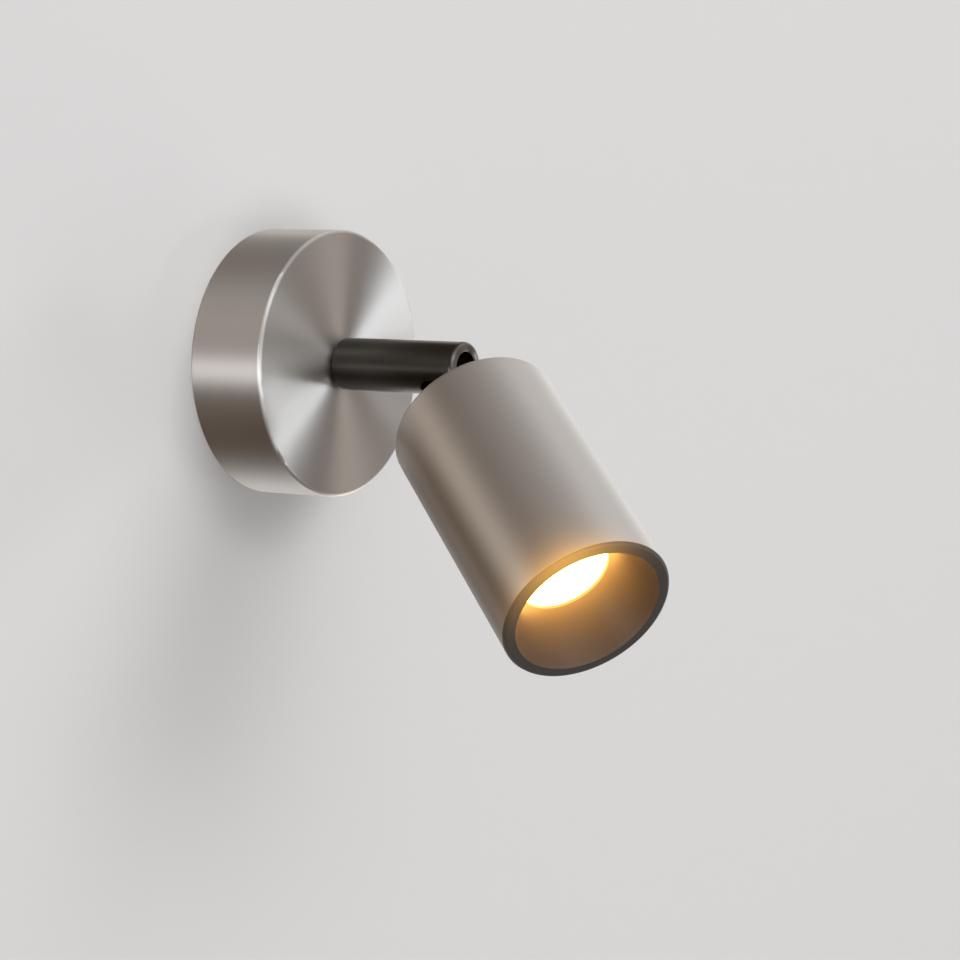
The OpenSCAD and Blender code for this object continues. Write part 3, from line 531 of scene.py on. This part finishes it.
class SpotlightLight(bpy.types.PropertyGroup):
    """The lens, and the glow painted on the mouth next to it"""

    glass: colour_setting("Lens", "Tint of the clear lens", (0.98, 0.97, 0.95, 1))
    glow: colour_setting("Glow", "Colour of the lit lens", (1.0, 0.44, 0.1, 1))
    rim_glow: colour_setting("Rim glow", "Colour of the lens near its edge", (1.0, 0.62, 0.2, 1))
    glow_strength: strength_setting("Glow strength", "How bright the lit lens is", 22.0, 100)
    # Colour and strength of the glow painted on the mouth's lip; the cone's painted glow has the same colour
    painted_halo: colour_setting("Halo", "Colour of the light spilled on the mouth", (1.0, 0.5, 0.08, 1))
    painted_halo_strength: strength_setting("Halo strength", "How bright the light spilled on the lip is", 0.7, 10)
    # Strength of the glow painted on the cone next to the lens
    painted_lens_glow: strength_setting("Lens spill", "How bright the cone is next to the lens", 0.45, 10)
    phosphor: colour_setting("Phosphor", "Colour of the light-emitting surface", (1.0, 0.7, 0.2, 1))


class SpotlightStudio(bpy.types.PropertyGroup):
    """The wall and the lamp that casts the shadow"""

    wall_colour: colour_setting("Wall", "Colour of the wall paint", (0.7, 0.7, 0.7, 1))
    wall_side: FloatProperty(
        name="Wall side",
        description="Side of the square of wall",
        default=8.0,
        unit="LENGTH",
        min=1,
        max=50,
    )
    key_power: FloatProperty(
        name="Key power",
        description="Power of the large soft lamp",
        default=31.0,
        unit="POWER",
        min=0,
        max=2000,
    )


def metals():
    return bpy.context.scene.spotlight_metals


def insides():
    return bpy.context.scene.spotlight_insides


def light():
    return bpy.context.scene.spotlight_light


def studio():
    return bpy.context.scene.spotlight_studio


# Pieces

class SpotlightCanopy(bpy.types.Operator):
    """Dress the canopy"""

    bl_idname = "spotlight.canopy"
    bl_label = "Canopy"

    def execute(self, context):
        nickel = material(
            "turned_nickel",
            turned_nickel,
            colour=metals().canopy_colour,
            edge_colour=metals().edge_colour,
            groove_mm=metals().groove_mm,
        )
        dress(nickel, "brushed_nickel", "canopy")
        return {"FINISHED"}


class SpotlightScrews(bpy.types.Operator):
    """Dress the screws, the pivot's washers and the stop pin"""

    bl_idname = "spotlight.screws"
    bl_label = "Screws"

    def execute(self, context):
        steel = material("screw_steel", plain_metal, colour=metals().screw_colour, roughness=0.3, grain=2000)
        dress(
            steel,
            "steel_screw",
            "canopy_screw",
            "driver_screws",
            "terminal_screws",
            "block_screws",
            "pivot_screw",
            "pivot_washers",
            "board_screws",
            "stop_pin",
        )
        return {"FINISHED"}


class SpotlightPlated(bpy.types.Operator):
    """Dress the wall plate, the nuts and washers, and the brass pieces"""

    bl_idname = "spotlight.plated"
    bl_label = "Wall plate, nuts and brass"

    def execute(self, context):
        zinc = material("zinc_plate", plain_metal, colour=metals().zinc_colour, roughness=0.34, grain=900)
        plated = "wall_plate", "stop_washer", "spring_washer", "lock_nut", "neck_nut", "neck_washer"
        dress(zinc, "zinc_steel", *plated)
        brass = material("brass", plain_metal, colour=metals().brass_colour, roughness=0.28, grain=2500)
        dress(brass, "brass", "terminal_clamps", "earth_screw", "earth_tag", "arm_nipple")
        return {"FINISHED"}


class SpotlightDriver(bpy.types.Operator):
    """Dress the driver's case, cover and board, and the terminal block"""

    bl_idname = "spotlight.driver"
    bl_label = "Driver and terminals"

    def execute(self, context):
        white = material("white_case", moulded, colour=insides().white_plastic, roughness=0.5, grain=1800)
        dress(white, "white_plastic", "driver_case", "driver_cover", "friction_washer")
        black = material("black_case", moulded, colour=insides().black_plastic, roughness=0.45, grain=1500)
        dress(black, "black_plastic", "terminal_block", "cable_bush", "arm_washer", "lens_cup")
        board = material(
            "circuit_board", circuit_board, colour=insides().board, track_colour=insides().tracks
        )
        dress(board, "circuit_board", "driver_board")
        return {"FINISHED"}


class SpotlightLeads(bpy.types.Operator):
    """Dress the leads inside the canopy, the arm and the head"""

    bl_idname = "spotlight.leads"
    bl_label = "Leads"

    def execute(self, context):
        brown = material("brown_lead", moulded, colour=insides().brown, roughness=0.4, grain=900)
        dress(brown, "brown_insulation", "supply_leads", "output_lead", "arm_lead", "head_lead")
        green = material("earth_lead", moulded, colour=insides().green, roughness=0.4, grain=900)
        dress(green, "earth_insulation", "earth_lead")
        return {"FINISHED"}


class SpotlightArm(bpy.types.Operator):
    """Dress the arm and the knuckle in its slot"""

    bl_idname = "spotlight.arm"
    bl_label = "Arm and knuckle"

    def execute(self, context):
        turned = (
            ("arm", "arm_tube", ARM_POINT, ARM_AXIS, ARM_FRONT),
            ("knuckle", "knuckle", HEAD_POINT, HEAD_AXIS, KNUCKLE_FRONT),
        )
        for name, node, point, axis, end in turned:
            dark = material(
                "black_nickel_" + name,
                black_nickel,
                colour=metals().arm_colour,
                end_colour=metals().arm_end_colour,
                point=point,
                axis=axis,
                end=end,
            )
            dress(dark, "black_nickel", node)
        return {"FINISHED"}


class SpotlightHead(bpy.types.Operator):
    """Dress the head's housing, heat sink, ring and seal"""

    bl_idname = "spotlight.head"
    bl_label = "Head"

    def execute(self, context):
        satin = material(
            "satin_nickel", satin_nickel, colour=metals().head_colour, grain_mm=metals().grain_mm
        )
        dress(satin, "satin_nickel", "head_housing")
        raw = material("raw_aluminium", plain_metal, colour=metals().cast_colour, roughness=0.4, grain=1200)
        dress(raw, "raw_aluminium", "heat_sink")
        black = material(
            "black_anodised",
            black_anodised,
            colour=metals().baffle_colour,
            ring_colour=metals().ring_colour,
        )
        dress(black, "black_anodised", "front_baffle")
        rubber = material("seal_rubber", moulded, colour=insides().rubber, roughness=0.7, grain=2000)
        dress(rubber, "black_rubber", "seal_ring")
        return {"FINISHED"}


class SpotlightEngine(bpy.types.Operator):
    """Dress the LED, its board and pad, and the lit lens"""

    bl_idname = "spotlight.engine"
    bl_label = "Light engine"

    def execute(self, context):
        white = material("white_board", moulded, colour=insides().white_board, roughness=0.35, grain=1500)
        dress(white, "white_board", "led_board", "led_package")
        pad = material("thermal_pad", moulded, colour=insides().pad, roughness=0.8, grain=3000)
        dress(pad, "thermal_pad", "thermal_pad")
        phosphor = material(
            "phosphor", lit_phosphor, colour=light().phosphor, strength=light().glow_strength
        )
        dress(phosphor, "led_surface", "led_emitter")
        lens = material(
            "lit_lens",
            lit_lens,
            glass_colour=light().glass,
            glow_colour=light().glow,
            rim_colour=light().rim_glow,
            strength=light().glow_strength,
        )
        dress(lens, "lens_glass", "lens")
        return {"FINISHED"}


class SpotlightStage(bpy.types.Operator):
    """Build the wall, the studio light and the camera"""

    bl_idname = "spotlight.stage"
    bl_label = "Wall, light and camera"

    def execute(self, context):
        self.wall()
        self.room()
        self.key_lamp()
        self.camera(context)
        context.scene.view_settings.view_transform = "Standard"
        return {"FINISHED"}

    def wall(self):
        half = studio().wall_side / 2
        mesh = bpy.data.meshes.new("wall")
        corners = [(-half, 0, -half), (half, 0, -half), (half, 0, half), (-half, 0, half)]
        mesh.from_pydata(corners, [], [(0, 1, 2, 3)])
        mesh.materials.append(material("wall_paint", painted_wall, colour=studio().wall_colour))
        wall = bpy.data.objects.new("wall", mesh)
        wall.location.y = WALL_GAP
        # The metal shows the room's lights instead, some of which stand where the wall is
        wall.visible_glossy = False
        bpy.context.scene.collection.objects.link(wall)

    def room(self):
        """A dim warm room with soft lights all round, which the metals show."""
        world = bpy.data.worlds.new("room")
        bpy.context.scene.world = world
        world.use_nodes = True
        graph = Graph(world.node_tree)
        look = graph.add("ShaderNodeTexCoord", out="Generated")
        total = ROOM_GLOW
        for azimuth, elevation, half_width, brightness, tint in ROOM_LIGHTS:
            # The light falls to a half at its half width from its middle
            sharp = math.log(2) / (1 - math.cos(math.radians(half_width)))
            near = graph.vector("DOT_PRODUCT", look, direction(azimuth, elevation), out="Value")
            fall = graph.math("EXPONENT", graph.math("MULTIPLY_ADD", near, sharp, -sharp))
            lit = graph.vector("SCALE", [c * brightness for c in tint], scale=fall)
            total = graph.vector("ADD", total, lit)
        shader = graph.add("ShaderNodeBackground", {"Color": total})
        graph.add("ShaderNodeOutputWorld", {"Surface": shader})

    def key_lamp(self):
        data = bpy.data.lights.new("key", "AREA")
        data.shape = "SQUARE"
        data.size = KEY_SIDE
        data.energy = studio().key_power
        key = bpy.data.objects.new("key", data)
        back = direction(KEY_AZIMUTH, KEY_ELEVATION)
        key.location = back * KEY_DISTANCE
        key.rotation_mode = "QUATERNION"
        key.rotation_quaternion = back.to_track_quat("Z", "Y")
        key.visible_glossy = False
        key.visible_camera = False
        bpy.context.scene.collection.objects.link(key)

    def camera(self, context):
        back = direction(VIEW_AZIMUTH, VIEW_ELEVATION)
        right = direction(VIEW_AZIMUTH + 90, 0)
        up = back.cross(right)
        data = bpy.data.cameras.new("camera")
        data.lens = LENS_MM
        data.sensor_width = SENSOR_MM
        data.clip_start = NEAREST_SEEN
        camera = bpy.data.objects.new("camera", data)
        place = right * AIM_RIGHT + up * AIM_UP + back * VIEW_DISTANCE
        turn = Matrix((right, up, back)).transposed().to_4x4()
        camera.matrix_world = Matrix.Translation(place) @ turn
        context.scene.collection.objects.link(camera)
        context.scene.camera = camera


OPERATORS = (
    SpotlightCanopy,
    SpotlightScrews,
    SpotlightPlated,
    SpotlightDriver,
    SpotlightLeads,
    SpotlightArm,
    SpotlightHead,
    SpotlightEngine,
    SpotlightStage,
)
SETTINGS = {
    "spotlight_metals": SpotlightMetals,
    "spotlight_insides": SpotlightInsides,
    "spotlight_light": SpotlightLight,
    "spotlight_studio": SpotlightStudio,
}


class SpotlightPanel(bpy.types.Panel):
    """Buttons for every piece, with the settings under them"""

    bl_idname = "VIEW3D_PT_spotlight"
    bl_label = "Wall spotlight"
    bl_space_type = "VIEW_3D"
    bl_region_type = "UI"
    bl_category = "Spotlight"

    def draw(self, context):
        layout = self.layout
        for operator in OPERATORS:
            layout.operator(operator.bl_idname)
        for name in SETTINGS:
            group = getattr(context.scene, name)
            box = layout.box()
            for setting in group.__annotations__:
                box.prop(group, setting)


def register():
    for group in SETTINGS.values():
        bpy.utils.register_class(group)
    for name, group in SETTINGS.items():
        setattr(bpy.types.Scene, name, PointerProperty(type=group))
    for operator in OPERATORS:
        bpy.utils.register_class(operator)
    bpy.utils.register_class(SpotlightPanel)


def unregister():
    bpy.utils.unregister_class(SpotlightPanel)
    for operator in reversed(OPERATORS):
        bpy.utils.unregister_class(operator)
    for name in SETTINGS:
        delattr(bpy.types.Scene, name)
    for group in SETTINGS.values():
        bpy.utils.unregister_class(group)


def main():
    register()
    bpy.ops.spotlight.canopy()
    bpy.ops.spotlight.screws()
    bpy.ops.spotlight.plated()
    bpy.ops.spotlight.driver()
    bpy.ops.spotlight.leads()
    bpy.ops.spotlight.arm()
    bpy.ops.spotlight.head()
    bpy.ops.spotlight.engine()
    bpy.ops.spotlight.stage()


if __name__ == "__main__":
    main()
